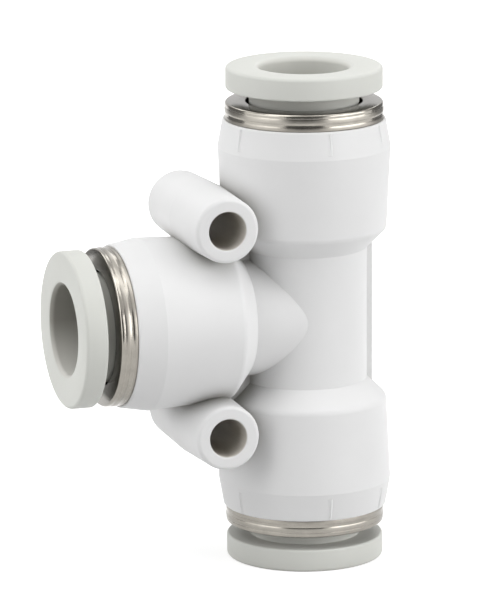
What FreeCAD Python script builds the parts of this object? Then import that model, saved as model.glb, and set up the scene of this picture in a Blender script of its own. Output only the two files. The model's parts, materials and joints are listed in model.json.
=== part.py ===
import FreeCAD, Part
import os
import re
import Sketcher

# Push-in union tee for 8 mm tube, in millimetres. The part stands on its lower release
# sleeve: the run lies along Z, the branch points along -X and the mounting holes run
# along Y. The origin is the centre of the lower port's mouth.

# A housing's sizes are measured from its nose end, where the collar seats.
sizes = {
    "run_reach": 18.07,
    "branch_reach": 18.35,
    "nose_radius": 7.45,
    "nose_length": 2.55,
    "housing_radius": 7.91,
    "housing_root_radius": 7.53,
    "housing_length": 10.16,
    "shoulder_length": 1.78,
    "run_neck_radius": 5.73,
    "branch_neck_radius": 5.5,
    "shoulder_round": 0.7,
    "nose_round": 0.15,
    "back_pad_width": 3.4,
    "back_pad_offset": 6.0,
    "boss_offset": 9.81,
    "boss_pitch": 19.17,
    "boss_middle_radius": 3.2,
    "boss_end_radius": 2.97,
    "boss_length": 14.1,
    "boss_rim_round": 0.35,
    "crotch_web_width": 2.0,
    "screw_hole_radius": 1.75,
    "screw_hole_round": 0.15,
    "cassette_bore_radius": 6.3,
    "seal_pocket_radius": 5.9,
    "seal_pocket_length": 2.5,
    "tube_seat_radius": 4.05,
    "tube_seat_length": 2.1,
    "flow_radius": 3.1,
    "collar_flange_radius": 7.26,
    "collar_flange_height": 1.6,
    "collar_rim_round": 0.3,
    "collar_hole_radius": 5.35,
    "collar_lip_height": 2.4,
    "collar_chamber_radius": 5.75,
    "collar_barrel_length": 5.2,
    "barb_height": 0.08,
    "barb_pitch": 1.0,
    "barb_count": 4,
    "rim_groove_depth": 0.1,
    "rim_groove_width": 0.14,
    "rim_band_height": 0.38,
    "rim_bead_height": 0.5,
    "rim_bead_round": 0.1,
    "sleeve_bore_radius": 4.1,
    "sleeve_mouth_radius": 4.65,
    "sleeve_mouth_depth": 0.5,
    "sleeve_flange_radius": 7.18,
    "sleeve_flange_height": 2.06,
    "sleeve_face_round": 0.28,
    "sleeve_back_round": 0.2,
    "sleeve_neck_radius": 5.02,
    "release_gap": 1.18,
    "hook_play": 0.05,
    "hook_clearance": 0.17,
    "hook_height": 1.0,
    "finger_tip_radius": 4.65,
    "finger_tip_gap": 0.1,
    "finger_slot_width": 0.8,
    "finger_slot_rise": 0.6,
    "finger_count": 4,
    "ring_play": 0.05,
    "grip_ring_clearance": 0.08,
    "grip_ring_thickness": 0.3,
    "tooth_root_radius": 5.2,
    "tooth_tip_radius": 3.75,
    "tooth_drop": 1.0,
    "tooth_gap_width": 0.5,
    "tooth_relief_radius": 0.35,
    "tooth_count": 10,
    "back_ring_clearance": 0.04,
    "back_ring_bore_radius": 4.15,
    "back_ring_height": 2.4,
    "recess_depth": 1.5,
    "recess_clearance": 0.15,
    "recess_taper": 0.35,
    "seal_clearance": 0.03,
    "seal_end_gap": 0.1,
    "seal_heel_radius": 4.3,
    "seal_lip_radius": 3.82,
    "seal_lip_height": 0.5,
    "seal_lip_width": 0.2,
    "seal_leg_width": 0.3,
    "seal_groove_depth": 0.8,
    "seal_groove_width": 0.6,
}

# Formulas over the sizes. A station is a distance outwards from a housing's nose end.
worked_out = {
    "axis_height": "run_reach + collar_flange_height + release_gap + sleeve_flange_height",
    "upper_seat_height": "axis_height + run_reach",
    "lower_seat_height": "axis_height - run_reach",
    "boss_draft": "atan(2 * (boss_middle_radius - boss_end_radius) / boss_length)",
    "run_root": "run_reach - housing_length",
    "branch_root": "branch_reach - housing_length",
    "sleeve_back_station": "collar_flange_height + release_gap",
    "sleeve_face_station": "sleeve_back_station + sleeve_flange_height",
    "sleeve_mouth_station": "sleeve_face_station - sleeve_mouth_depth",
    "lip_station": "collar_flange_height - collar_lip_height",
    "barrel_station": "0 - collar_barrel_length",
    "collar_barrel_radius": "cassette_bore_radius - barb_height",
    "band_station": "collar_flange_height - rim_band_height",
    "bead_station": "band_station - rim_groove_width - rim_bead_height",
    "foot_station": "bead_station - rim_groove_width",
    "rim_groove_radius": "collar_flange_radius - rim_groove_depth",
    "hook_station": "lip_station - hook_play",
    "hook_end_station": "hook_station - hook_height",
    "hook_radius": "collar_chamber_radius - hook_clearance",
    "finger_tip_station": "barrel_station - finger_tip_gap",
    "finger_slot_station": "lip_station + finger_slot_rise",
    "grip_ring_station": "barrel_station - ring_play",
    "grip_ring_radius": "cassette_bore_radius - grip_ring_clearance",
    "tooth_tip_station": "grip_ring_station - tooth_drop",
    "back_ring_station": "grip_ring_station - grip_ring_thickness - ring_play",
    "back_ring_radius": "cassette_bore_radius - back_ring_clearance",
    "back_ring_end_station": "back_ring_station - back_ring_height",
    "recess_station": "back_ring_station - recess_depth",
    "recess_radius": "tooth_root_radius + recess_clearance",
    "seal_pocket_station": "back_ring_end_station - seal_pocket_length",
    "seal_radius": "seal_pocket_radius - seal_clearance",
    "seal_station": "back_ring_end_station - seal_end_gap",
    "seal_end_station": "seal_pocket_station + seal_end_gap",
    "seal_lip_station": "seal_end_station + seal_lip_height",
    "seal_lip_end_radius": "seal_lip_radius + seal_lip_width",
    "seal_groove_station": "seal_end_station + seal_groove_depth",
    "seal_groove_radius": "seal_lip_end_radius + seal_leg_width",
    "tube_stop_station": "seal_pocket_station - tube_seat_length",
}

# Each port's turn takes +Z, which points out of its mouth, to the port's direction.
ports = {
    "upper": {"axis": (1, 0, 0), "degrees": 0, "x": "0", "z": "upper_seat_height"},
    "lower": {"axis": (1, 0, 0), "degrees": 180, "x": "0", "z": "lower_seat_height"},
    "branch": {"axis": (0, 1, 0), "degrees": -90, "x": "0 - branch_reach", "z": "axis_height"},
}

same_place = 1e-4

doc = FreeCAD.newDocument("union_tee")
sheet = doc.addObject("Spreadsheet::Sheet", "Sizes")


def fill_sheet():
    rows = [(name, str(size)) for name, size in sizes.items()]
    rows += [(name, "=" + formula) for name, formula in worked_out.items()]
    for row, (name, content) in enumerate(rows, start=1):
        sheet.set(f"A{row}", name)
        sheet.set(f"B{row}", content)
        sheet.setAlias(f"B{row}", name)
    doc.recompute()


def in_sheet(formula):
    """The formula with each size's name written as a reference to the sheet."""
    return re.sub(r"[a-z][a-z_]+", lambda word: "Sizes." + word.group(), str(formula))


def value(formula):
    return float(sheet.evalExpression(in_sheet(formula)))


def bind(target, path, formula):
    target.setExpression(path, in_sheet(formula))


def new_body(label):
    body = doc.addObject("PartDesign::Body", label)
    body.Label = label
    return body


def new_feature(body, kind, name, **settings):
    """A feature that keeps its faces apart, because merging them loses part of the crotch."""
    feature = body.newObject("PartDesign::" + kind, name)
    feature.Refine = False
    for key, setting in settings.items():
        setattr(feature, key, setting)
    return feature


def new_sketch(body, name, plane_role):
    sketch = body.newObject("Sketcher::SketchObject", name)
    plane = next(item for item in body.Origin.OriginFeatures if item.Role == plane_role)
    sketch.AttachmentSupport = [(plane, "")]
    sketch.MapMode = "FlatFace"
    return sketch


def hold(sketch, constraint, formula):
    index = sketch.addConstraint(constraint)
    bind(sketch, f"Constraints[{index}]", formula)


def hold_point(sketch, geometry, end, across, up):
    """Hold one point of a sketch at two formulas, measured from the sketch's origin."""
    for direction, formula in (("DistanceX", across), ("DistanceY", up)):
        place = value(formula)
        hold(sketch, Sketcher.Constraint(direction, -1, 1, geometry, end, place), formula)


def outline(body, name, points, plane_role="XZ_Plane"):
    """A closed outline of straight lines, whose corners are pairs of formulas."""
    sketch = new_sketch(body, name, plane_role)
    corners = [FreeCAD.Vector(value(across), value(up), 0) for across, up in points]
    for start, end in zip(corners, corners[1:] + corners[:1]):
        sketch.addGeometry(Part.LineSegment(start, end))
    for index, (across, up) in enumerate(points):
        following = (index + 1) % len(points)
        sketch.addConstraint(Sketcher.Constraint("Coincident", index, 2, following, 1))
        hold_point(sketch, index, 1, across, up)
    return sketch


def circles(body, name, centres, radius, plane_role="XZ_Plane"):
    """Equal circles whose centres are pairs of formulas."""
    sketch = new_sketch(body, name, plane_role)
    normal = FreeCAD.Vector(0, 0, 1)
    for index, (across, up) in enumerate(centres):
        centre = FreeCAD.Vector(value(across), value(up), 0)
        sketch.addGeometry(Part.Circle(centre, normal, value(radius)))
        hold_point(sketch, index, 3, across, up)
        hold(sketch, Sketcher.Constraint("Radius", index, value(radius)), radius)
    return sketch


def turned(body, name, points, kind="Revolution", axis="V_Axis"):
    """Turn an outline all the way round, as material or as a groove."""
    sketch = outline(body, name + "_outline", points)
    feature = new_feature(body, kind, name, Profile=sketch, ReferenceAxis=(sketch, [axis]), Angle=360)
    doc.recompute()
    return feature


def straight(body, name, sketch, length, kind="Pad"):
    """Take a sketch equally far to both sides of its plane, as material or as a pocket."""
    feature = new_feature(body, kind, name, Profile=sketch, SideType="Symmetric")
    bind(feature, "Length", length)
    doc.recompute()
    return feature


def ring_edges(shape, direction, radius, places):
    """Names of the round edges of this radius about a direction, at these places along it."""
    wanted = [value(place) for place in places]
    found = []
    for index, edge in enumerate(shape.Edges, start=1):
        curve = edge.Curve
        if not isinstance(curve, Part.Circle) or abs(curve.Radius - value(radius)) > same_place:
            continue
        place = curve.Center.dot(direction)
        if any(abs(place - other) < same_place for other in wanted):
            found.append(f"Edge{index}")
    return found


def rounded(body, name, direction, rings, radius):
    """Round ring edges of the body, given as pairs of a radius and its places."""
    base = body.Tip
    edges = [edge for ring, places in rings for edge in ring_edges(base.Shape, direction, ring, places)]
    if len(edges) < sum(len(places) for _, places in rings):
        raise ValueError(f"{name}: an edge to round is missing")
    feature = new_feature(body, "Fillet", name, Base=(base, edges))
    bind(feature, "Radius", radius)
    doc.recompute()
    return feature


def around(body, name, originals, count):
    """Repeat features evenly round the body's own Z axis."""
    axis = next(item for item in body.Origin.OriginFeatures if item.Role == "Z_Axis")
    pattern = new_feature(body, "PolarPattern", name, Originals=originals, Axis=(axis, [""]))
    bind(pattern, "Occurrences", count)
    body.Tip = pattern
    doc.recompute()
    return pattern


def place_in_port(body, port):
    facts = ports[port]
    turn = FreeCAD.Rotation(FreeCAD.Vector(*facts["axis"]), facts["degrees"])
    body.Placement = FreeCAD.Placement(FreeCAD.Vector(value(facts["x"]), 0, value(facts["z"])), turn)
    bind(body, "Placement.Base.x", facts["x"])
    bind(body, "Placement.Base.z", facts["z"])


along_x = FreeCAD.Vector(1, 0, 0)
along_y = FreeCAD.Vector(0, 1, 0)
along_z = FreeCAD.Vector(0, 0, 1)


def housing_outline(reach, root, neck_radius):
    """Half of one housing's section, from its neck to its nose end: radius and distance."""
    return [
        (neck_radius, f"{root} - shoulder_length"),
        ("housing_root_radius", root),
        ("housing_radius", f"{reach} - nose_length"),
        ("nose_radius", reach),
    ]


def port_outline(reach):
    """Half of one port's bore, from the flow passage to the nose end: radius and distance."""
    return [
        ("flow_radius", f"{reach} + tube_stop_station"),
        ("tube_seat_radius", f"{reach} + tube_stop_station"),
        ("tube_seat_radius", f"{reach} + seal_pocket_station"),
        ("seal_pocket_radius", f"{reach} + seal_pocket_station"),
        ("seal_pocket_radius", f"{reach} + back_ring_end_station"),
        ("cassette_bore_radius", f"{reach} + back_ring_end_station"),
        ("cassette_bore_radius", reach),
    ]


def both_ways(half):
    """A run outline that closes on the axis, from one half's points."""
    upper = [(radius, place) for radius, place in half]
    lower = [(radius, f"0 - ({place})") for radius, place in half]
    top, bottom = upper[-1][1], lower[-1][1]
    return [("0", bottom)] + lower[::-1] + upper + [("0", top)]


def towards_branch(half):
    """A branch outline that closes on the axis and starts where the axes cross."""
    points = [(f"0 - ({place})", radius) for radius, place in half]
    return [("0", "0"), ("0", half[0][0])] + points + [(points[-1][0], "0")]


def make_fitting_body():
    body = new_body("fitting_body")
    run_half = housing_outline("run_reach", "run_root", "run_neck_radius")
    branch_half = housing_outline("branch_reach", "branch_root", "branch_neck_radius")
    turned(body, "run_housings", both_ways(run_half))
    run_shoulders = ("housing_root_radius", ["run_root", "0 - run_root"])
    rounded(body, "run_shoulder_rounds", along_z, [run_shoulders], "shoulder_round")
    turned(body, "branch_housing", towards_branch(branch_half), axis="H_Axis")
    branch_shoulder = ("housing_root_radius", ["0 - branch_root"])
    rounded(body, "branch_shoulder_round", along_x, [branch_shoulder], "shoulder_round")

    half_width = "back_pad_width / 2"
    pad_points = [
        ("0", f"0 - {half_width}"),
        ("back_pad_offset", f"0 - {half_width}"),
        ("back_pad_offset", half_width),
        ("0", half_width),
    ]
    back_pad = outline(body, "back_pad_outline", pad_points, "XY_Plane")
    straight(body, "back_pad", back_pad, "2 * (run_root - shoulder_length / 2)")

    web_points = [
        ("0 - boss_offset", "0 - boss_pitch / 2"),
        ("0 - run_neck_radius / 2", "0 - boss_pitch / 2"),
        ("0 - run_neck_radius / 2", "boss_pitch / 2"),
        ("0 - boss_offset", "boss_pitch / 2"),
    ]
    web = outline(body, "crotch_web_outline", web_points)
    straight(body, "crotch_web", web, "crotch_web_width")
    centres = [("0 - boss_offset", "boss_pitch / 2"), ("0 - boss_offset", "0 - boss_pitch / 2")]
    boss_circles = circles(body, "boss_circles", centres, "boss_middle_radius")
    bosses = straight(body, "bosses", boss_circles, "boss_length")
    bind(bosses, "TaperAngle", "boss_draft")
    doc.recompute()

    turned(body, "run_bore", both_ways(port_outline("run_reach")), "Groove")
    turned(body, "branch_bore", towards_branch(port_outline("branch_reach")), "Groove", "H_Axis")
    screw_holes = circles(body, "screw_hole_circles", centres, "screw_hole_radius")
    straight(body, "screw_holes", screw_holes, "boss_length", "Pocket")

    boss_ends = ["boss_length / 2", "0 - boss_length / 2"]
    rounded(body, "boss_rim_rounds", along_y, [("boss_end_radius", boss_ends)], "boss_rim_round")
    rounded(body, "hole_rounds", along_y, [("screw_hole_radius", boss_ends)], "screw_hole_round")
    run_noses = ("nose_radius", ["run_reach", "0 - run_reach"])
    rounded(body, "run_nose_rounds", along_z, [run_noses], "nose_round")
    branch_nose = ("nose_radius", ["0 - branch_reach"])
    rounded(body, "branch_nose_round", along_x, [branch_nose], "nose_round")
    body.Placement.Base.z = value("axis_height")
    bind(body, "Placement.Base.z", "axis_height")
    return body


def barb_points():
    """Saw-tooth barbs up the collar's barrel, whose crests bite at the bore's wall."""
    points = [("collar_barrel_radius", "barrel_station")]
    for barb in range(sizes["barb_count"]):
        crest = f"barrel_station + {barb + 1} * barb_pitch"
        points += [("cassette_bore_radius", crest), ("collar_barrel_radius", crest)]
    return points


def make_collar(port):
    body = new_body(port + "_collar")
    groove_middle = "rim_groove_width / 2"
    points = [("collar_chamber_radius", "barrel_station")] + barb_points()
    points += [
        ("collar_barrel_radius", "0"),
        ("collar_flange_radius", "0"),
        ("collar_flange_radius", "foot_station"),
        ("rim_groove_radius", f"foot_station + {groove_middle}"),
        ("collar_flange_radius", "bead_station"),
        ("collar_flange_radius", "bead_station + rim_bead_height"),
        ("rim_groove_radius", f"band_station - {groove_middle}"),
        ("collar_flange_radius", "band_station"),
        ("collar_flange_radius", "collar_flange_height"),
        ("collar_hole_radius", "collar_flange_height"),
        ("collar_hole_radius", "lip_station"),
        ("collar_chamber_radius", "lip_station"),
    ]
    turned(body, body.Label + "_ring", points)
    face = ("collar_flange_radius", ["collar_flange_height"])
    rounded(body, body.Label + "_rim_round", along_z, [face], "collar_rim_round")
    bead_ends = ["foot_station", "bead_station", "bead_station + rim_bead_height"]
    beads = ("collar_flange_radius", bead_ends)
    rounded(body, body.Label + "_bead_rounds", along_z, [beads], "rim_bead_round")
    place_in_port(body, port)
    return body


def make_release_sleeve(port):
    body = new_body(port + "_release_sleeve")
    points = [
        ("sleeve_bore_radius", "finger_tip_station"),
        ("finger_tip_radius", "finger_tip_station"),
        ("hook_radius", "hook_end_station"),
        ("hook_radius", "hook_station"),
        ("sleeve_neck_radius", "hook_station"),
        ("sleeve_neck_radius", "sleeve_back_station"),
        ("sleeve_flange_radius", "sleeve_back_station"),
        ("sleeve_flange_radius", "sleeve_face_station"),
        ("sleeve_mouth_radius", "sleeve_face_station"),
        ("sleeve_bore_radius", "sleeve_mouth_station"),
    ]
    turned(body, body.Label + "_blank", points)
    slot_points = [
        ("0", "finger_tip_station"),
        ("collar_chamber_radius", "finger_tip_station"),
        ("collar_chamber_radius", "finger_slot_station"),
        ("0", "finger_slot_station"),
    ]
    slot_outline = outline(body, body.Label + "_slot_outline", slot_points)
    slot = straight(body, body.Label + "_slot", slot_outline, "finger_slot_width", "Pocket")
    around(body, body.Label + "_slots", [slot], "finger_count")
    face = ("sleeve_flange_radius", ["sleeve_face_station"])
    rounded(body, body.Label + "_face_round", along_z, [face], "sleeve_face_round")
    back = ("sleeve_flange_radius", ["sleeve_back_station"])
    rounded(body, body.Label + "_back_round", along_z, [back], "sleeve_back_round")
    place_in_port(body, port)
    return body


def make_grip_ring(port):
    body = new_body(port + "_grip_ring")
    points = [
        ("tooth_root_radius", "grip_ring_station"),
        ("grip_ring_radius", "grip_ring_station"),
        ("grip_ring_radius", "grip_ring_station - grip_ring_thickness"),
        ("tooth_root_radius", "grip_ring_station - grip_ring_thickness"),
        ("tooth_tip_radius", "tooth_tip_station - grip_ring_thickness"),
        ("tooth_tip_radius", "tooth_tip_station"),
    ]
    turned(body, body.Label + "_cone", points)
    half_gap = "tooth_gap_width / 2"
    gap_points = [
        ("0", f"0 - {half_gap}"),
        ("tooth_root_radius", f"0 - {half_gap}"),
        ("tooth_root_radius", half_gap),
        ("0", half_gap),
    ]
    depth = "2 * (collar_barrel_length + tooth_drop + 2 * grip_ring_thickness)"
    gap_outline = outline(body, body.Label + "_gap_outline", gap_points, "XY_Plane")
    gap = straight(body, body.Label + "_gap", gap_outline, depth, "Pocket")
    centre = [("tooth_root_radius", "0")]
    relief_circle = circles(body, body.Label + "_relief_circle", centre, "tooth_relief_radius", "XY_Plane")
    relief = straight(body, body.Label + "_relief", relief_circle, depth, "Pocket")
    around(body, body.Label + "_teeth", [gap, relief], "tooth_count")
    place_in_port(body, port)
    return body


def make_back_ring(port):
    body = new_body(port + "_back_ring")
    points = [
        ("recess_radius", "back_ring_station"),
        ("back_ring_radius", "back_ring_station"),
        ("back_ring_radius", "back_ring_end_station"),
        ("back_ring_bore_radius", "back_ring_end_station"),
        ("back_ring_bore_radius", "recess_station"),
        ("recess_radius - recess_taper", "recess_station"),
    ]
    turned(body, body.Label + "_ring", points)
    place_in_port(body, port)
    return body


def make_seal(port):
    body = new_body(port + "_seal")
    outer_leg_radius = "seal_radius - seal_leg_width"
    points = [
        ("seal_heel_radius", "seal_station"),
        ("seal_radius", "seal_station"),
        ("seal_radius", "seal_end_station"),
        (outer_leg_radius, "seal_end_station"),
        ("seal_groove_radius + seal_groove_width", "seal_groove_station"),
        ("seal_groove_radius", "seal_groove_station"),
        ("seal_groove_radius", "seal_end_station"),
        ("seal_lip_end_radius", "seal_end_station"),
        ("seal_lip_radius", "seal_lip_station"),
    ]
    turned(body, body.Label + "_lips", points)
    place_in_port(body, port)
    return body


def check_and_export(bodies):
    doc.recompute()
    failed = [item.Name for item in doc.Objects if {"Invalid", "Error"} & set(item.State)]
    if failed:
        raise ValueError("failed: " + ", ".join(failed))
    for body in bodies:
        if body.Shape.isNull() or not body.Shape.isValid() or len(body.Shape.Solids) != 1:
            raise ValueError(body.Label + " isn't one valid solid")
    os.makedirs("parts", exist_ok=True)
    for body in bodies:
        body.Shape.exportStep(f"parts/{body.Label}.step")
        print(body.Label, "volume", round(body.Shape.Volume, 2))


fill_sheet()
pieces = [make_fitting_body()]
for port_name in ports:
    for make in (make_collar, make_release_sleeve, make_grip_ring, make_back_ring, make_seal):
        pieces.append(make(port_name))
check_and_export(pieces)
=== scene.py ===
import json
import math
import bmesh
import bpy
from mathutils import Matrix, Vector

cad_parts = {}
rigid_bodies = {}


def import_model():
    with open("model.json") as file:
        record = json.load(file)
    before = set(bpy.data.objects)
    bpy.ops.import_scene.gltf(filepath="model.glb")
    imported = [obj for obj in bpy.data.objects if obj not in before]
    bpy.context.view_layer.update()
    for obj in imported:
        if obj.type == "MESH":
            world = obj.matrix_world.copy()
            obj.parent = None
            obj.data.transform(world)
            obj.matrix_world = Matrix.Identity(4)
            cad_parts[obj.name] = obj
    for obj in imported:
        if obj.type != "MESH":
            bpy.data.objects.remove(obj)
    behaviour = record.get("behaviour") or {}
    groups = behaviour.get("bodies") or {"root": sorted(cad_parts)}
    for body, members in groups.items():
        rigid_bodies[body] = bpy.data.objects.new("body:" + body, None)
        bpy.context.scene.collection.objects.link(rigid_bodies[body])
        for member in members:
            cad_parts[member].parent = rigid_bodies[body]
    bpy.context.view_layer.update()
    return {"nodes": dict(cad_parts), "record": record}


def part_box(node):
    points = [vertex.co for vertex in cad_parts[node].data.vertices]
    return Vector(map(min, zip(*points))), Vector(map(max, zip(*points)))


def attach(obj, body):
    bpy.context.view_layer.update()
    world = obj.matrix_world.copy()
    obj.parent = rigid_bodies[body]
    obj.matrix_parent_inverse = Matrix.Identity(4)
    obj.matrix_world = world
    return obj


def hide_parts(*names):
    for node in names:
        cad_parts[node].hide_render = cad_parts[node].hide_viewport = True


mm = 0.001

for leftover in list(bpy.data.objects):
    bpy.data.objects.remove(leftover)
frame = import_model()
nodes = frame["nodes"]
mounts = {mount["name"]: mount for mount in frame["record"]["mounts"]}
ports = {"upper": Vector((0, 0, 1)), "lower": Vector((0, 0, -1)), "branch": Vector((-1, 0, 0))}

# The tee's axes cross at the middle of the run, which is also the screw holes' middle.
bodyLow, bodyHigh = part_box("fitting_body")
crossing = Vector((0, 0, (bodyLow.z + bodyHigh.z) / 2))
print("frame loaded,", len(nodes), "nodes")


class Wire:
    # one socket of a node tree, so that shader maths reads as ordinary sums
    def __init__(self, tree, socket):
        self.tree, self.socket = tree, socket

    def maths(self, operation, *values):
        return self.tree.node("ShaderNodeMath", {"operation": operation}, dict(enumerate(values)))

    def __add__(self, other):
        return self.maths("ADD", self, other)

    def __sub__(self, other):
        return self.maths("SUBTRACT", self, other)

    def __rsub__(self, other):
        return self.maths("SUBTRACT", other, self)

    def __mul__(self, other):
        return self.maths("MULTIPLY", self, other)

    def __pow__(self, other):
        return self.maths("POWER", self, other)

    def __abs__(self):
        return self.maths("ABSOLUTE", self)

    __radd__ = __add__
    __rmul__ = __mul__

    def larger(self, other):
        return self.maths("MAXIMUM", self, other)

    def ramp(self, low, high):
        # 0 at or below low, 1 at or above high, and even in between
        inputs = {"Value": self, "From Min": low, "From Max": high}
        return self.tree.node("ShaderNodeMapRange", {"clamp": True}, inputs)


class NodeTree:
    # a material's or the world's nodes
    def __init__(self, nodeTree):
        self.nodeTree = nodeTree

    def feed(self, node, inputs):
        for key, given in inputs.items():
            if isinstance(given, Wire):
                self.nodeTree.links.new(given.socket, node.inputs[key])
            else:
                node.inputs[key].default_value = given

    def node(self, kind, settings, inputs, output=0):
        made = self.nodeTree.nodes.new(kind)
        for key, setting in settings.items():
            setattr(made, key, setting)
        self.feed(made, inputs)
        return Wire(self, made.outputs[output])

    def between(self, share, first, second):
        # a colour: the first at share 0 and the second at share 1
        return self.node("ShaderNodeMix", {"data_type": "RGBA"}, {0: share, 6: first, 7: second}, 2)

    def seenDirectly(self):
        # 1 to the camera, to gloss and through clear materials, and 0 as light on the object
        rays = ("Is Camera Ray", "Is Glossy Ray", "Is Transmission Ray")
        camera, glossy, through = (self.node("ShaderNodeLightPath", {}, {}, ray) for ray in rays)
        return camera.larger(glossy.larger(through))


class Finish(NodeTree):
    # a material under construction: constants go on the shader's own sockets
    def __init__(self, name, **constants):
        self.material = bpy.data.materials.new(name)
        self.material.use_nodes = True
        super().__init__(self.material.node_tree)
        self.shader = self.nodeTree.nodes["Principled BSDF"]
        self.vary(**constants)
        self.place = self.node("ShaderNodeTexCoord", {}, {}, "Object")
        self.x, self.y, self.z = (self.along(axis) for axis in "XYZ")

    def along(self, axis):
        return self.node("ShaderNodeSeparateXYZ", {}, {0: self.place}, axis)

    def vary(self, **sockets):
        self.feed(self.shader, {key.replace("_", " "): given for key, given in sockets.items()})
        return self.material

    def noise(self, size, detail=2.0, seed=0.0):
        # size is the width of one blotch, in metres
        inputs = {"Vector": self.place, "W": seed, "Scale": 1 / size, "Detail": detail}
        return self.node("ShaderNodeTexNoise", {"noise_dimensions": "4D"}, inputs)

    def paintedShadeShare(self, reach):
        # 0 on open surfaces, rising to 1 where other surfaces close in within reach: this sets where shade
        # is painted into creases
        return 1 - self.node("ShaderNodeAmbientOcclusion", {"samples": 16}, {"Distance": reach}, "AO")

    def bump(self, height):
        # height in metres
        return self.node("ShaderNodeBump", {}, {"Height": height, "Distance": 1.0, "Strength": 1.0})


def linear(red, green, blue):
    # a colour as the eye reads it, from 0 to 255, turned into light
    shares = (value / 255 for value in (red, green, blue))
    return (*(s / 12.92 if s <= 0.04045 else ((s + 0.055) / 1.055) ** 2.4 for s in shares), 1.0)


# Each plastic's colour and a second tone that blotches vary between, and the colour of the shade painted
# into its creases, with how far that painted shade reaches.
plasticLook = {
    "body": {
        "colour": (229, 229, 229), "shade": (224, 224, 224), "roughness": 0.5,
        "paintedCreaseShade": (146, 144, 138), "paintedCreaseShadeReach": 2.2 * mm, "grain": 0.06 * mm, "grainHeight": 0.0012 * mm,
    },
    "sleeve": {
        "colour": (211, 212, 207), "shade": (205, 206, 200), "roughness": 0.48,
        "paintedCreaseShade": (200, 199, 193), "paintedCreaseShadeReach": 2.6 * mm, "grain": 0.07 * mm, "grainHeight": 0.0016 * mm,
    },
    "backRing": {
        "colour": (226, 224, 214), "shade": (218, 215, 203), "roughness": 0.45,
        "paintedCreaseShade": (130, 126, 118), "paintedCreaseShadeReach": 3 * mm, "grain": 0.06 * mm, "grainHeight": 0.0015 * mm,
    },
}

# What all plastics share: the width of a blotch, how wide the patches of other sheen are and by how much
# their roughness differs, and how sharply the shade painted into a crease darkens towards its depth.
plasticWearAndShade = {"blotch": 4 * mm, "sheenPatch": 1.5 * mm, "sheenSpread": 0.08, "paintedCreaseShadePower": 2}


def plasticFinish(name, look, hollowShade=None, extraHeight=None):
    finish = Finish(name, IOR=1.5, Specular_IOR_Level=0.3)
    blotches = finish.noise(plasticWearAndShade["blotch"], detail=3.0)
    moulded = finish.between(blotches, linear(*look["shade"]), linear(*look["colour"]))
    # painted shade: the colour darkens in creases, where other surfaces close in
    paintedCreaseShade = finish.paintedShadeShare(look["paintedCreaseShadeReach"]) ** plasticWearAndShade["paintedCreaseShadePower"]
    colour = finish.between(paintedCreaseShade, moulded, linear(*look["paintedCreaseShade"]))
    if hollowShade:
        colour = hollowShade(finish, colour)
    sheen = finish.noise(plasticWearAndShade["sheenPatch"], seed=7.0) - 0.5
    roughness = look["roughness"] + plasticWearAndShade["sheenSpread"] * sheen
    relief = finish.noise(look["grain"], seed=3.0) * look["grainHeight"]
    if extraHeight:
        relief = relief + extraHeight(finish)
    return finish.vary(Base_Color=colour, Roughness=roughness, Normal=finish.bump(relief))


# The holes' walls get little light, so painted shade colours them darker, and the branch bore's painted
# shade is darker at the top than at the bottom. A radius is a little over its hole's.
screwHoleShade = {"radius": 1.78 * mm, "colour": (190, 185, 176)}
sleeveBoreShade = {
    "radius": 4.35 * mm,
    "runBoreShade": (210, 210, 204),
    "branchTopShade": (146, 144, 137),
    "branchBottomShade": (204, 203, 197),
}
colourEdge = 0.04 * mm


def within(distance, radius):
    return 1 - distance.ramp(radius - colourEdge, radius + colourEdge)


def length(first, second):
    return (first ** 2 + second ** 2) ** 0.5


def paintShadeInScrewHoles(finish, colour):
    holes = mounts["mounting_holes"]
    across = finish.x - holes["pos_m"][0]
    up = abs(finish.z - crossing.z) - holes["dims"]["spacing_y_mm"] / 2 * mm
    # painted shade: the screw holes' walls take a darker colour
    hole = within(length(across, up), screwHoleShade["radius"])
    return finish.between(hole, colour, linear(*screwHoleShade["colour"]))


def paintShadeInBores(finish, colour):
    # painted shade: the bores' walls take darker colours, the branch bore's darker at the top and lighter at
    # the bottom, where light falls from above
    up = finish.z - crossing.z
    inRun = within(length(finish.x, finish.y), sleeveBoreShade["radius"])
    inBranch = within(length(finish.y, up), sleeveBoreShade["radius"])
    low, high = linear(*sleeveBoreShade["branchBottomShade"]), linear(*sleeveBoreShade["branchTopShade"])
    branchBoreShade = finish.between(up.ramp(-sleeveBoreShade["radius"], 0.0), low, high)
    colour = finish.between(inRun, colour, linear(*sleeveBoreShade["runBoreShade"]))
    return finish.between(inBranch, colour, branchBoreShade)


partingLine = {"top": 0.02 * mm, "foot": 0.06 * mm, "height": 0.006 * mm}


def partingRelief(finish):
    # a faint line where the mould's halves met, in the tee's middle plane
    return (1 - abs(finish.y).ramp(partingLine["top"], partingLine["foot"])) * partingLine["height"]


# Each metal's colour and a second tone that blotches vary between, and the colour of the shade painted into
# its creases, with how far that painted shade reaches.
metalLook = {
    "nickel": {
        "colour": (164, 160, 152), "shade": (132, 128, 121),
        "paintedCreaseShade": (86, 83, 77), "paintedCreaseShadeReach": 0.8 * mm, "grain": 0.2 * mm, "grainHeight": 0.0035 * mm,
    },
    "stainless": {
        "colour": (186, 186, 186), "shade": (160, 160, 160), "roughness": 0.3,
        "paintedCreaseShade": (60, 60, 60), "paintedCreaseShadeReach": 1.0 * mm, "grain": 0.12 * mm, "grainHeight": 0.0012 * mm,
    },
}
metalWearAndShade = {"blotch": 1.2 * mm, "sheenPatch": 0.5 * mm, "sheenSpread": 0.1, "paintedCreaseShadePower": 1.4}


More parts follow.
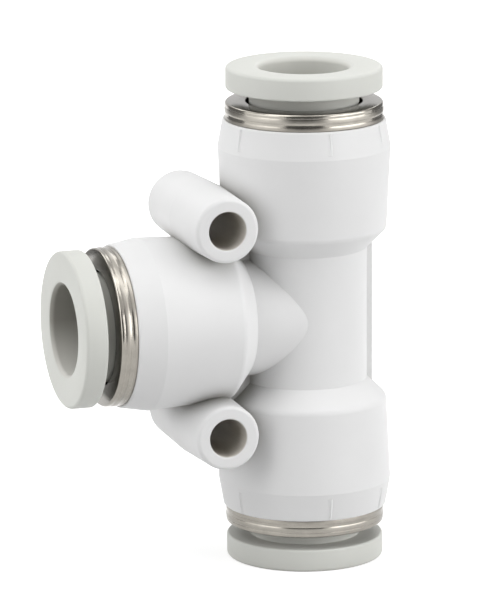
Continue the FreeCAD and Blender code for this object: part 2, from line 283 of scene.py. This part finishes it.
def metalFinish(name, look, rim=None):
    finish = Finish(name, Metallic=1.0)
    blotches = finish.noise(metalWearAndShade["blotch"], detail=3.0)
    plated = finish.between(blotches, linear(*look["shade"]), linear(*look["colour"]))
    plated, roughness = rim(finish, plated) if rim else (plated, look["roughness"])
    # painted shade: the plating darkens in creases, where other surfaces close in
    paintedCreaseShade = finish.paintedShadeShare(look["paintedCreaseShadeReach"]) ** metalWearAndShade["paintedCreaseShadePower"]
    colour = finish.between(paintedCreaseShade, plated, linear(*look["paintedCreaseShade"]))
    sheen = finish.noise(metalWearAndShade["sheenPatch"], detail=3.0, seed=5.0) - 0.5
    roughness = roughness + metalWearAndShade["sheenSpread"] * sheen
    relief = finish.noise(look["grain"]) * look["grainHeight"]
    return finish.vary(Base_Color=colour, Roughness=roughness, Normal=finish.bump(relief))


# How far a collar's face stands out from its housing's nose, in millimetres.
collarFace = 1.6

# A collar's rim, by height above the nose: its bright bands, and the face, painted darker as painted shade
# of the gap that it looks into.
collarRim = {
    "brightBands": ((0.36 * mm, 0.72 * mm), (1.12 * mm, 1.7 * mm)),
    "face": 1.57 * mm,
    "soft": 0.05 * mm,
    "bright": 0.17,
    "dull": 0.32,
    "faceShade": (112, 109, 103),
}


def noseDistance(port):
    # how far the port's nose stands from the crossing
    faceEnd = max((corner - crossing).dot(ports[port]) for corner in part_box(port + "_collar"))
    return faceEnd - collarFace * mm


def platedRim(finish, plated):
    # the rim's beads are dull and the bands between them bright, as a rolled and plated ring wears; the
    # face's darker colour is painted shade
    alongRun = abs(finish.z - crossing.z) - noseDistance("upper")
    alongBranch = 0 - finish.x - noseDistance("branch")
    station = alongRun.larger(alongBranch)
    soft = collarRim["soft"]
    bright = 0
    for low, high in collarRim["brightBands"]:
        bright = station.ramp(low - soft, low + soft) * (1 - station.ramp(high - soft, high + soft)) + bright
    roughness = collarRim["dull"] - bright * (collarRim["dull"] - collarRim["bright"])
    # painted shade: the face is coloured darker
    face = station.ramp(collarRim["face"] - soft, collarRim["face"] + soft)
    return finish.between(face, plated, linear(*collarRim["faceShade"])), roughness


rubberLook = {
    "colour": (46, 46, 46), "shade": (34, 34, 35), "blotch": 0.8 * mm,
    "roughness": 0.55, "sheenPatch": 0.3 * mm, "sheenSpread": 0.1,
}


def rubberFinish(name, look):
    finish = Finish(name)
    colour = finish.between(finish.noise(look["blotch"]), linear(*look["shade"]), linear(*look["colour"]))
    roughness = look["roughness"] + look["sheenSpread"] * finish.noise(look["sheenPatch"])
    return finish.vary(Base_Color=colour, Roughness=roughness)


finishes = {
    "body": plasticFinish("bodyPlastic", plasticLook["body"], paintShadeInScrewHoles, partingRelief),
    "sleeve": plasticFinish("sleevePlastic", plasticLook["sleeve"], paintShadeInBores),
    "backRing": plasticFinish("backRingPlastic", plasticLook["backRing"]),
    "collar": metalFinish("nickelPlate", metalLook["nickel"], platedRim),
    "gripRing": metalFinish("stainlessSheet", metalLook["stainless"]),
    "seal": rubberFinish("sealRubber", rubberLook),
}
portFinishes = {
    "_collar": "collar", "_release_sleeve": "sleeve", "_grip_ring": "gripRing", "_back_ring": "backRing",
    "_seal": "seal",
}


def dress(node, finish):
    for slot in nodes[node].material_slots:
        slot.material = finishes[finish]


dress("fitting_body", "body")
for port in ports:
    for ending, finish in portFinishes.items():
        dress(port + ending, finish)
print("finishes made")


def placePiece(name, shape, material):
    mesh = bpy.data.meshes.new(name)
    shape.to_mesh(mesh)
    shape.free()
    mesh.materials.append(material)
    piece = bpy.data.objects.new(name, mesh)
    bpy.context.scene.collection.objects.link(piece)
    return piece


def facing(outwards, place):
    # turns the +Z side of something away from the tee and moves it to its place
    return Matrix.Translation(place) @ outwards.to_track_quat("Z", "Y").to_matrix().to_4x4()


# How close two points have to be to count as one place, and to be merged.
nearby, merged = 0.001 * mm, 0.0001 * mm
sharpAngle = math.radians(32)


def atHeight(vert, height):
    return abs(vert.co.z - height) < nearby


def roundRing(shape, radius, height, rounding, segments):
    def onRing(vert):
        return atHeight(vert, height) and abs(vert.co.xy.length - radius) < nearby

    ring = [edge for edge in shape.edges if all(onRing(vert) for vert in edge.verts)]
    bmesh.ops.bevel(
        shape, geom=ring, offset=rounding, segments=segments, affect="EDGES", profile=0.5, material=-1,
    )


def turnedShape(facts):
    # spins a closed section about Z and rounds the corners that ask for it
    shape = bmesh.new()
    corners = [shape.verts.new((radius * mm, 0, height * mm)) for radius, height, _ in facts["section"]]
    sides = [shape.edges.new(pair) for pair in zip(corners, corners[1:] + corners[:1])]
    bmesh.ops.spin(
        shape, geom=corners + sides, axis=(0, 0, 1), cent=(0, 0, 0), angle=math.tau,
        steps=facts["steps"], use_merge=True,
    )
    bmesh.ops.remove_doubles(shape, verts=shape.verts, dist=merged)
    bmesh.ops.recalc_face_normals(shape, faces=shape.faces)
    for radius, height, rounding in facts["section"]:
        if rounding:
            roundRing(shape, radius * mm, height * mm, rounding * mm, facts["roundSegments"])
    return shape


def seatInPort(shape, facts, port, node, body, finish):
    # moves a turned shape to the place of the node that it replaces
    outwards = ports[port]
    farEnd = max((corner - crossing).dot(outwards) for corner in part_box(node))
    seat = crossing + outwards * (farEnd - facts["top"] * mm)
    bmesh.ops.transform(shape, matrix=facing(outwards, seat), verts=shape.verts)
    piece = placePiece(node + "Turned", shape, finishes[finish])
    piece.data.shade_smooth()
    piece.data.set_sharp_from_angle(angle=sharpAngle)
    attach(piece, body)
    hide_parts(node)


# A collar's turned section, in millimetres: radius, height above the nose, and the corner's rounding.
barbs = [(radius, height, 0.0) for height in (-4.2, -3.2, -2.2, -1.2) for radius in (6.3, 6.22)]
collarRing = {
    "section": [
        (5.75, -5.2, 0.0), (6.22, -5.2, 0.0), *barbs, (6.22, 0.0, 0.0), (7.26, 0.0, 0.06),
        (7.26, 0.34, 0.05), (7.235, 0.42, 0.04), (7.235, 0.66, 0.04), (7.26, 0.74, 0.1),
        (7.26, 1.08, 0.1), (7.235, 1.16, 0.04), (7.235, 1.36, 0.0), (7.235, collarFace, 0.22),
        (5.35, collarFace, 0.08), (5.35, -0.8, 0.0), (5.75, -0.8, 0.0),
    ],
    "top": collarFace,
    "steps": 180,
    "roundSegments": 4,
}

# A release sleeve's section in the same way; its slots part the lower end into fingers.
sleeveRing = {
    "section": [
        (4.1, -5.3, 0.08), (4.65, -5.3, 0.08), (5.58, -1.85, 0.1), (5.58, -0.85, 0.1), (5.02, -0.85, 0.0),
        (5.02, -0.2, 0.0), (5.02, 2.78, 0.1), (7.18, 2.78, 0.2), (7.18, 4.84, 0.3), (4.1, 4.84, 0.5),
        (4.1, -0.2, 0.0),
    ],
    "top": 4.84,
    "steps": 144,
    "roundSegments": 6,
    "slots": 4,
    "slotTop": -0.2,
    "slotHalfAngle": 5.0,
}


def cutSlots(shape, facts):
    # takes the slots' faces away, then closes each slot's roof and its two sides
    turn = math.tau / facts["slots"]
    slotTop = facts["slotTop"] * mm

    def inSlot(face):
        middle = face.calc_center_median()
        bearing = math.atan2(middle.y, middle.x) % turn
        off = math.degrees(min(bearing, turn - bearing))
        return off < facts["slotHalfAngle"] and middle.z < slotTop

    cut = [face for face in shape.faces if inSlot(face)]
    bmesh.ops.delete(shape, geom=cut, context="FACES")
    openEdges = [edge for edge in shape.edges if edge.is_boundary]
    roofEdges = [edge for edge in openEdges if all(atHeight(vert, slotTop) for vert in edge.verts)]
    for number in range(facts["slots"]):
        outwards = Vector((math.cos(number * turn), math.sin(number * turn)))

        def overSlot(edge):
            middle = (edge.verts[0].co + edge.verts[1].co).xy
            return middle.angle(outwards) < turn / 2

        bmesh.ops.bridge_loops(shape, edges=[edge for edge in roofEdges if overSlot(edge)])
    openEdges = [edge for edge in shape.edges if edge.is_boundary]
    bmesh.ops.holes_fill(shape, edges=openEdges, sides=0)
    bmesh.ops.recalc_face_normals(shape, faces=shape.faces)


for port in ports:
    collar = turnedShape(collarRing)
    seatInPort(collar, collarRing, port, port + "_collar", "fitting", "collar")
    sleeve = turnedShape(sleeveRing)
    cutSlots(sleeve, sleeveRing)
    seatInPort(sleeve, sleeveRing, port, port + "_release_sleeve", port + "_sleeve", "sleeve")
print("collars and sleeves turned")

# Small ridges moulded on the run's noses: each one's bearing in degrees and the side of its wide slope, and
# in millimetres each end's distance from the tee's middle, the nose's radius there, the ridge's height
# and the widths of its two slopes, which run on to the depth that it is sunk by.
noseRidges = {
    "sides": {-159.2: 1, -91.4: -1, -45.2: -1},
    "inner": {"away": 15.95, "radius": 7.832, "height": 0.07, "wide": 0.68, "narrow": 0.2},
    "outer": {"away": 17.9, "radius": 7.48, "height": 0.14, "wide": 0.2, "narrow": 0.14},
    "sunk": 0.05,
}


def ridgeCorner(facts, sign, degrees, side):
    # where one corner of a cube from -1 to 1 goes; the two top corners of an end meet in the ridge
    end = facts["outer" if sign.z > 0 else "inner"]
    if sign.y > 0:
        radius, across = end["radius"] + end["height"], 0
    else:
        radius, across = end["radius"] - facts["sunk"], end["wide"] if sign.x > 0 else -end["narrow"]
    bearing = math.radians(degrees) + across * side / radius
    return Vector((radius * math.cos(bearing), radius * math.sin(bearing), end["away"])) * mm


def makeNoseRidges(facts):
    shape = bmesh.new()
    for degrees, side in facts["sides"].items():
        for upwards in (1, -1):
            for vert in bmesh.ops.create_cube(shape, size=2)["verts"]:
                corner = ridgeCorner(facts, vert.co, degrees, side)
                vert.co = crossing + Vector((corner.x, corner.y, corner.z * upwards))
    bmesh.ops.remove_doubles(shape, verts=shape.verts, dist=merged)
    bmesh.ops.recalc_face_normals(shape, faces=shape.faces)
    piece = placePiece("noseRidges", shape, finishes["body"])
    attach(piece, "fitting")


makeNoseRidges(noseRidges)
print("nose ridges made")

# The photograph's view of the axes' crossing; places are in its own pixels.
view = {
    "azimuth": math.radians(19.2),
    "elevation": math.radians(12.87),
    "roll": math.radians(-0.2),
    "distance": 550 * mm,
    "focalPixels": 5995,
    "size": (497, 607),
    "crossingPixel": (304.3, 310.6),
    "sensor": 36,
    "clip": (0.05, 20),
}


def makeCamera(facts):
    azimuth, elevation = facts["azimuth"], facts["elevation"]
    level = Vector((-math.sin(azimuth), -math.cos(azimuth), 0))
    back = level * math.cos(elevation) + Vector((0, 0, math.sin(elevation)))
    right = Matrix.Rotation(facts["roll"], 3, back) @ Vector((math.cos(azimuth), -math.sin(azimuth), 0))
    up = back.cross(right)
    across, down = (place - extent / 2 for place, extent in zip(facts["crossingPixel"], facts["size"]))
    pixel = facts["distance"] / facts["focalPixels"]
    camera = bpy.data.objects.new("camera", bpy.data.cameras.new("camera"))
    camera.data.sensor_width = facts["sensor"]
    camera.data.lens = facts["focalPixels"] * facts["sensor"] / max(facts["size"])
    camera.data.clip_start, camera.data.clip_end = facts["clip"]
    camera.matrix_world = Matrix((right, up, back)).transposed().to_4x4()
    camera.location = crossing + back * facts["distance"] + (up * down - right * across) * pixel
    bpy.context.scene.collection.objects.link(camera)
    bpy.context.scene.camera = camera


# Each lamp's bearing and height in degrees, seen from the tee, and its power in watts.
lamps = {
    "overhead": {"bearing": 0, "height": 90, "power": 0.42},
    "leftNear": {"bearing": -70, "height": 12, "power": 0.46},
    "leftSide": {"bearing": -99, "height": 12, "power": 0.27},
    "leftFront": {"bearing": -60, "height": 38, "power": 0.48},
    "leftHigh": {"bearing": -75, "height": 63, "power": 0.7},
    "rightNear": {"bearing": 33, "height": 12, "power": 0.82},
    "rightSide": {"bearing": 63, "height": 12, "power": 0.76},
    "rightUpper": {"bearing": 60, "height": 38, "power": 0.22},
    "rightHigh": {"bearing": 55, "height": 63, "power": 0.43},
    "backRight": {"bearing": 120, "height": 12, "power": 0.33},
    "backLeft": {"bearing": -135, "height": 12, "power": 0.33},
    "backRightUpper": {"bearing": 140, "height": 38, "power": 0.45},
    "backLeftUpper": {"bearing": -150, "height": 38, "power": 0.45},
}
lampStand = {"distance": 0.5, "size": 0.26}

# The floor's paper is white to the eye and to gloss, and a little less so near the tee.
floorPaper = {
    "reach": 3.0, "colour": (198, 198, 198), "roughness": 0.9,
    "glowNear": 0.66, "glowFar": 1.0, "glowFade": (20 * mm, 120 * mm),
}

# Dark cloths between the lamps, seen only in the reflections of the metal and the gloss, where they paint
# dark
# reflections: each one's bearing and width, and the glow that these painted reflections show.
darkReflectionCloths = {
    "frontCloth": {"bearing": -19.2, "width": 0.156, "glow": 0.13},
    "rightCloth": {"bearing": 116, "width": 0.12, "glow": 0.25},
    "leftCloth": {"bearing": -138, "width": 0.13, "glow": 0.25},
}
clothStand = {"distance": 0.15, "height": 0.12, "colour": (38, 36, 34)}


def bearingVector(bearing, height):
    # points from the tee towards a place round it: bearing 0 is the front, 90 the right
    around, up = math.radians(bearing), math.radians(height)
    return Vector((math.sin(around) * math.cos(up), -math.cos(around) * math.cos(up), math.sin(up)))


def makeLamp(name, facts):
    lamp = bpy.data.objects.new(name, bpy.data.lights.new(name, "AREA"))
    lamp.data.shape = "SQUARE"
    lamp.data.size, lamp.data.energy = lampStand["size"], facts["power"]
    outwards = bearingVector(facts["bearing"], facts["height"])
    lamp.matrix_world = facing(outwards, crossing + outwards * lampStand["distance"])
    bpy.context.scene.collection.objects.link(lamp)


def makeWorld():
    # a white surround that puts no light of its own on the tee
    world = bpy.data.worlds.new("studio")
    world.use_nodes = True
    surround = NodeTree(world.node_tree)
    background = world.node_tree.nodes["Background"]
    surround.feed(background, {"Color": (1, 1, 1, 1), "Strength": surround.seenDirectly()})
    bpy.context.scene.world = world


def makeFloor(facts):
    shape = bmesh.new()
    bmesh.ops.create_grid(shape, x_segments=1, y_segments=1, size=facts["reach"])
    paper = Finish(
        "floorPaper", Base_Color=linear(*facts["colour"]), Roughness=facts["roughness"],
        Specular_IOR_Level=0.0, Emission_Strength=1.0,
    )
    fade = length(paper.x, paper.y).ramp(*facts["glowFade"])
    white = facts["glowNear"] + fade * (facts["glowFar"] - facts["glowNear"])
    glow = paper.between(paper.seenDirectly() * white, (0, 0, 0, 1), (1, 1, 1, 1))
    placePiece("floor", shape, paper.vary(Emission_Color=glow))


def makeDarkReflectionCloth(name, facts):
    shape = bmesh.new()
    # the grid's size is half its side, so the cloth is scaled from a side of 1
    bmesh.ops.create_grid(shape, x_segments=1, y_segments=1, size=0.5)
    bmesh.ops.scale(shape, vec=(facts["width"], clothStand["height"], 1), verts=shape.verts)
    outwards = bearingVector(facts["bearing"], 0)
    middle = outwards * clothStand["distance"] + Vector((0, 0, clothStand["height"] / 2))
    bmesh.ops.transform(shape, matrix=facing(outwards, middle), verts=shape.verts)
    cloth = Finish(
        name, Base_Color=linear(*clothStand["colour"]), Roughness=1.0, Specular_IOR_Level=0.0,
        Emission_Color=(1, 1, 1, 1), Emission_Strength=facts["glow"],
    )
    piece = placePiece(name, shape, cloth.material)
    # the cloth shows only in reflections, so it paints dark reflections on the metal and the gloss
    piece.visible_camera = piece.visible_diffuse = piece.visible_transmission = piece.visible_shadow = False


makeCamera(view)
makeWorld()
makeFloor(floorPaper)
for name, facts in darkReflectionCloths.items():
    makeDarkReflectionCloth(name, facts)
for name, facts in lamps.items():
    makeLamp(name, facts)
bpy.context.scene.view_settings.view_transform = "Standard"
print("studio set")
